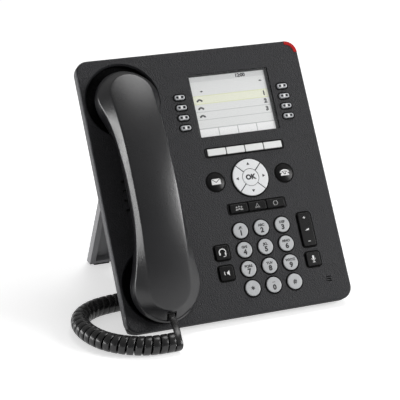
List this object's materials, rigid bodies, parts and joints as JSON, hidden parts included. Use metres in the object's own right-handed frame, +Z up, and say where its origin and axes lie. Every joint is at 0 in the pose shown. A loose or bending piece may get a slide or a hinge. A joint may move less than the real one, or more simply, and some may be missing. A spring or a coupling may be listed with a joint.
{
  "type": "desk ip phone",
  "caption": "Desk phone with a leaning keypad panel, a display, a handset in a two-cup cradle on the left with a curly cord, and an easel stand behind.",
  "frame": {"origin": "on the desk, under the middle of the phone's box without its cord", "axes": "+X to the user's right, +Y away from the user, +Z up"},
  "size_m": [0.2386, 0.2008, 0.1978],
  "materials": {
    "panel_plastic": "fine moulded grain, matt charcoal",
    "cover_plastic": "moulded grain, matt black",
    "handset_plastic": "satin black",
    "silver_key": "satin silver-white",
    "white_key": "satin white",
    "line_key": "glossy, frosted light pipe",
    "black_key": "satin black",
    "red_lamp": "glossy translucent red",
    "window": "clear, polished",
    "display": "matt liquid crystal panel",
    "circuit_board": "green solder mask",
    "silicone": "matt silicone",
    "foot_rubber": "matt rubber",
    "stand_plastic": "pale grey, fine grain",
    "screw_steel": "plated",
    "driver": "dark, satin",
    "socket_plastic": "matt black",
    "cord_rubber": "satin black vinyl",
    "plug_plastic": "smoky clear"
  },
  "bodies": {
    "base": {"front_housing": "panel_plastic", "rear_cover": "cover_plastic", "cover_screws": "screw_steel", "rubber_feet": "foot_rubber", "display_lens": "window", "lcd_module": "display", "main_board": "circuit_board", "keypad_mat": "silicone", "message_lamp": "red_lamp", "loudspeaker": "driver", "base_microphone": "driver", "board_jacks": "socket_plastic", "handset_cord": "cord_rubber", "cord_plug_base": "plug_plastic"},
    "handset": {"handset_outer_shell": "handset_plastic", "handset_inner_shell": "handset_plastic", "earpiece": "driver", "handset_microphone": "driver", "cord_plug_handset": "plug_plastic"},
    "stand_leg": {"stand": "stand_plastic", "stand_foot_pads": "foot_rubber"},
    "hook_plunger": {"hook_switch": "black_key"},
    "volume": {"volume_rocker": "black_key"},
    "dial_key_1_cap": {"dial_key_1": "silver_key"},
    "dial_key_2_cap": {"dial_key_2": "silver_key"},
    "dial_key_3_cap": {"dial_key_3": "silver_key"},
    "dial_key_4_cap": {"dial_key_4": "silver_key"},
    "dial_key_5_cap": {"dial_key_5": "silver_key"},
    "dial_key_6_cap": {"dial_key_6": "silver_key"},
    "dial_key_7_cap": {"dial_key_7": "silver_key"},
    "dial_key_8_cap": {"dial_key_8": "silver_key"},
    "dial_key_9_cap": {"dial_key_9": "silver_key"},
    "dial_key_star_cap": {"dial_key_star": "silver_key"},
    "dial_key_0_cap": {"dial_key_0": "silver_key"},
    "dial_key_hash_cap": {"dial_key_hash": "silver_key"},
    "soft_key_1_cap": {"soft_key_1": "white_key"},
    "soft_key_2_cap": {"soft_key_2": "white_key"},
    "soft_key_3_cap": {"soft_key_3": "white_key"},
    "soft_key_4_cap": {"soft_key_4": "white_key"},
    "line_key_left_1_cap": {"line_key_left_1": "line_key"},
    "line_key_left_2_cap": {"line_key_left_2": "line_key"},
    "line_key_left_3_cap": {"line_key_left_3": "line_key"},
    "line_key_left_4_cap": {"line_key_left_4": "line_key"},
    "line_key_right_1_cap": {"line_key_right_1": "line_key"},
    "line_key_right_2_cap": {"line_key_right_2": "line_key"},
    "line_key_right_3_cap": {"line_key_right_3": "line_key"},
    "line_key_right_4_cap": {"line_key_right_4": "line_key"},
    "nav_up_cap": {"nav_up": "silver_key"},
    "nav_down_cap": {"nav_down": "silver_key"},
    "nav_left_cap": {"nav_left": "silver_key"},
    "nav_right_cap": {"nav_right": "silver_key"},
    "ok_key_cap": {"ok_key": "silver_key"},
    "message_key_cap": {"message_key": "black_key"},
    "phone_key_cap": {"phone_key": "black_key"},
    "contacts_key_cap": {"contacts_key": "black_key"},
    "menu_key_cap": {"menu_key": "black_key"},
    "history_key_cap": {"history_key": "black_key"},
    "mute_key_cap": {"mute_key": "black_key"},
    "headset_key_cap": {"headset_key": "black_key"},
    "speaker_key_cap": {"speaker_key": "black_key"}
  },
  "joints": [
    {"name": "handset_lift", "type": "slide", "parent": "base", "child": "handset", "axis": [0, -0.8281, 0.5606], "range_m": [0, 0.06], "deforming": ["handset_cord"]},
    {"name": "hook_rise", "type": "slide", "parent": "base", "child": "hook_plunger", "axis": [0, -0.8281, 0.5606], "range_m": [0, 0.0035]},
    {"name": "stand_fold", "type": "hinge", "parent": "base", "child": "stand_leg", "pos_m": [0, 0.02745, 0.10347], "axis": [-1, 0, 0], "range_deg": [0, 62], "deforming": ["handset_cord"]},
    {"name": "volume_tilt", "type": "hinge", "parent": "base", "child": "volume", "pos_m": [0.07115, -0.04175, 0.05727], "axis": [1, 0, 0], "range_deg": [-3.5, 3.5], "stiffness_Nm_per_rad": 0.1, "deforming": ["keypad_mat"]},
    {"name": "press_dial_key_1", "type": "slide", "parent": "base", "child": "dial_key_1_cap", "axis": [0, 0.8281, -0.5606], "range_m": [0, 0.0012], "stiffness_N_per_m": 150, "deforming": ["keypad_mat"]},
    {"name": "press_dial_key_2", "type": "slide", "parent": "base", "child": "dial_key_2_cap", "axis": [0, 0.8281, -0.5606], "range_m": [0, 0.0012], "stiffness_N_per_m": 150, "deforming": ["keypad_mat"]},
    {"name": "press_dial_key_3", "type": "slide", "parent": "base", "child": "dial_key_3_cap", "axis": [0, 0.8281, -0.5606], "range_m": [0, 0.0012], "stiffness_N_per_m": 150, "deforming": ["keypad_mat"]},
    {"name": "press_dial_key_4", "type": "slide", "parent": "base", "child": "dial_key_4_cap", "axis": [0, 0.8281, -0.5606], "range_m": [0, 0.0012], "stiffness_N_per_m": 150, "deforming": ["keypad_mat"]},
    {"name": "press_dial_key_5", "type": "slide", "parent": "base", "child": "dial_key_5_cap", "axis": [0, 0.8281, -0.5606], "range_m": [0, 0.0012], "stiffness_N_per_m": 150, "deforming": ["keypad_mat"]},
    {"name": "press_dial_key_6", "type": "slide", "parent": "base", "child": "dial_key_6_cap", "axis": [0, 0.8281, -0.5606], "range_m": [0, 0.0012], "stiffness_N_per_m": 150, "deforming": ["keypad_mat"]},
    {"name": "press_dial_key_7", "type": "slide", "parent": "base", "child": "dial_key_7_cap", "axis": [0, 0.8281, -0.5606], "range_m": [0, 0.0012], "stiffness_N_per_m": 150, "deforming": ["keypad_mat"]},
    {"name": "press_dial_key_8", "type": "slide", "parent": "base", "child": "dial_key_8_cap", "axis": [0, 0.8281, -0.5606], "range_m": [0, 0.0012], "stiffness_N_per_m": 150, "deforming": ["keypad_mat"]},
    {"name": "press_dial_key_9", "type": "slide", "parent": "base", "child": "dial_key_9_cap", "axis": [0, 0.8281, -0.5606], "range_m": [0, 0.0012], "stiffness_N_per_m": 150, "deforming": ["keypad_mat"]},
    {"name": "press_dial_key_star", "type": "slide", "parent": "base", "child": "dial_key_star_cap", "axis": [0, 0.8281, -0.5606], "range_m": [0, 0.0012], "stiffness_N_per_m": 150, "deforming": ["keypad_mat"]},
    {"name": "press_dial_key_0", "type": "slide", "parent": "base", "child": "dial_key_0_cap", "axis": [0, 0.8281, -0.5606], "range_m": [0, 0.0012], "stiffness_N_per_m": 150, "deforming": ["keypad_mat"]},
    {"name": "press_dial_key_hash", "type": "slide", "parent": "base", "child": "dial_key_hash_cap", "axis": [0, 0.8281, -0.5606], "range_m": [0, 0.0012], "stiffness_N_per_m": 150, "deforming": ["keypad_mat"]},
    {"name": "press_soft_key_1", "type": "slide", "parent": "base", "child": "soft_key_1_cap", "axis": [0, 0.8281, -0.5606], "range_m": [0, 0.0012], "stiffness_N_per_m": 150, "deforming": ["keypad_mat"]},
    {"name": "press_soft_key_2", "type": "slide", "parent": "base", "child": "soft_key_2_cap", "axis": [0, 0.8281, -0.5606], "range_m": [0, 0.0012], "stiffness_N_per_m": 150, "deforming": ["keypad_mat"]},
    {"name": "press_soft_key_3", "type": "slide", "parent": "base", "child": "soft_key_3_cap", "axis": [0, 0.8281, -0.5606], "range_m": [0, 0.0012], "stiffness_N_per_m": 150, "deforming": ["keypad_mat"]},
    {"name": "press_soft_key_4", "type": "slide", "parent": "base", "child": "soft_key_4_cap", "axis": [0, 0.8281, -0.5606], "range_m": [0, 0.0012], "stiffness_N_per_m": 150, "deforming": ["keypad_mat"]},
    {"name": "press_line_key_left_1", "type": "slide", "parent": "base", "child": "line_key_left_1_cap", "axis": [0, 0.8281, -0.5606], "range_m": [0, 0.0012], "stiffness_N_per_m": 150, "deforming": ["keypad_mat"]},
    {"name": "press_line_key_left_2", "type": "slide", "parent": "base", "child": "line_key_left_2_cap", "axis": [0, 0.8281, -0.5606], "range_m": [0, 0.0012], "stiffness_N_per_m": 150, "deforming": ["keypad_mat"]},
    {"name": "press_line_key_left_3", "type": "slide", "parent": "base", "child": "line_key_left_3_cap", "axis": [0, 0.8281, -0.5606], "range_m": [0, 0.0012], "stiffness_N_per_m": 150, "deforming": ["keypad_mat"]},
    {"name": "press_line_key_left_4", "type": "slide", "parent": "base", "child": "line_key_left_4_cap", "axis": [0, 0.8281, -0.5606], "range_m": [0, 0.0012], "stiffness_N_per_m": 150, "deforming": ["keypad_mat"]},
    {"name": "press_line_key_right_1", "type": "slide", "parent": "base", "child": "line_key_right_1_cap", "axis": [0, 0.8281, -0.5606], "range_m": [0, 0.0012], "stiffness_N_per_m": 150, "deforming": ["keypad_mat"]},
    {"name": "press_line_key_right_2", "type": "slide", "parent": "base", "child": "line_key_right_2_cap", "axis": [0, 0.8281, -0.5606], "range_m": [0, 0.0012], "stiffness_N_per_m": 150, "deforming": ["keypad_mat"]},
    {"name": "press_line_key_right_3", "type": "slide", "parent": "base", "child": "line_key_right_3_cap", "axis": [0, 0.8281, -0.5606], "range_m": [0, 0.0012], "stiffness_N_per_m": 150, "deforming": ["keypad_mat"]},
    {"name": "press_line_key_right_4", "type": "slide", "parent": "base", "child": "line_key_right_4_cap", "axis": [0, 0.8281, -0.5606], "range_m": [0, 0.0012], "stiffness_N_per_m": 150, "deforming": ["keypad_mat"]},
    {"name": "press_nav_up", "type": "slide", "parent": "base", "child": "nav_up_cap", "axis": [0, 0.8281, -0.5606], "range_m": [0, 0.0012], "stiffness_N_per_m": 150, "deforming": ["keypad_mat"]},
    {"name": "press_nav_down", "type": "slide", "parent": "base", "child": "nav_down_cap", "axis": [0, 0.8281, -0.5606], "range_m": [0, 0.0012], "stiffness_N_per_m": 150, "deforming": ["keypad_mat"]},
    {"name": "press_nav_left", "type": "slide", "parent": "base", "child": "nav_left_cap", "axis": [0, 0.8281, -0.5606], "range_m": [0, 0.0012], "stiffness_N_per_m": 150, "deforming": ["keypad_mat"]},
    {"name": "press_nav_right", "type": "slide", "parent": "base", "child": "nav_right_cap", "axis": [0, 0.8281, -0.5606], "range_m": [0, 0.0012], "stiffness_N_per_m": 150, "deforming": ["keypad_mat"]},
    {"name": "press_ok_key", "type": "slide", "parent": "base", "child": "ok_key_cap", "axis": [0, 0.8281, -0.5606], "range_m": [0, 0.0012], "stiffness_N_per_m": 150, "deforming": ["keypad_mat"]},
    {"name": "press_message_key", "type": "slide", "parent": "base", "child": "message_key_cap", "axis": [0, 0.8281, -0.5606], "range_m": [0, 0.0012], "stiffness_N_per_m": 150, "deforming": ["keypad_mat"]},
    {"name": "press_phone_key", "type": "slide", "parent": "base", "child": "phone_key_cap", "axis": [0, 0.8281, -0.5606], "range_m": [0, 0.0012], "stiffness_N_per_m": 150, "deforming": ["keypad_mat"]},
    {"name": "press_contacts_key", "type": "slide", "parent": "base", "child": "contacts_key_cap", "axis": [0, 0.8281, -0.5606], "range_m": [0, 0.0012], "stiffness_N_per_m": 150, "deforming": ["keypad_mat"]},
    {"name": "press_menu_key", "type": "slide", "parent": "base", "child": "menu_key_cap", "axis": [0, 0.8281, -0.5606], "range_m": [0, 0.0012], "stiffness_N_per_m": 150, "deforming": ["keypad_mat"]},
    {"name": "press_history_key", "type": "slide", "parent": "base", "child": "history_key_cap", "axis": [0, 0.8281, -0.5606], "range_m": [0, 0.0012], "stiffness_N_per_m": 150, "deforming": ["keypad_mat"]},
    {"name": "press_mute_key", "type": "slide", "parent": "base", "child": "mute_key_cap", "axis": [0, 0.8281, -0.5606], "range_m": [0, 0.0012], "stiffness_N_per_m": 150, "deforming": ["keypad_mat"]},
    {"name": "press_headset_key", "type": "slide", "parent": "base", "child": "headset_key_cap", "axis": [0, 0.8281, -0.5606], "range_m": [0, 0.0012], "stiffness_N_per_m": 150, "deforming": ["keypad_mat"]},
    {"name": "press_speaker_key", "type": "slide", "parent": "base", "child": "speaker_key_cap", "axis": [0, 0.8281, -0.5606], "range_m": [0, 0.0012], "stiffness_N_per_m": 150, "deforming": ["keypad_mat"]}
  ],
  "couplings": [
    {"joint": "hook_rise", "follows": "handset_lift", "ratio": 0.0583}
  ]
}
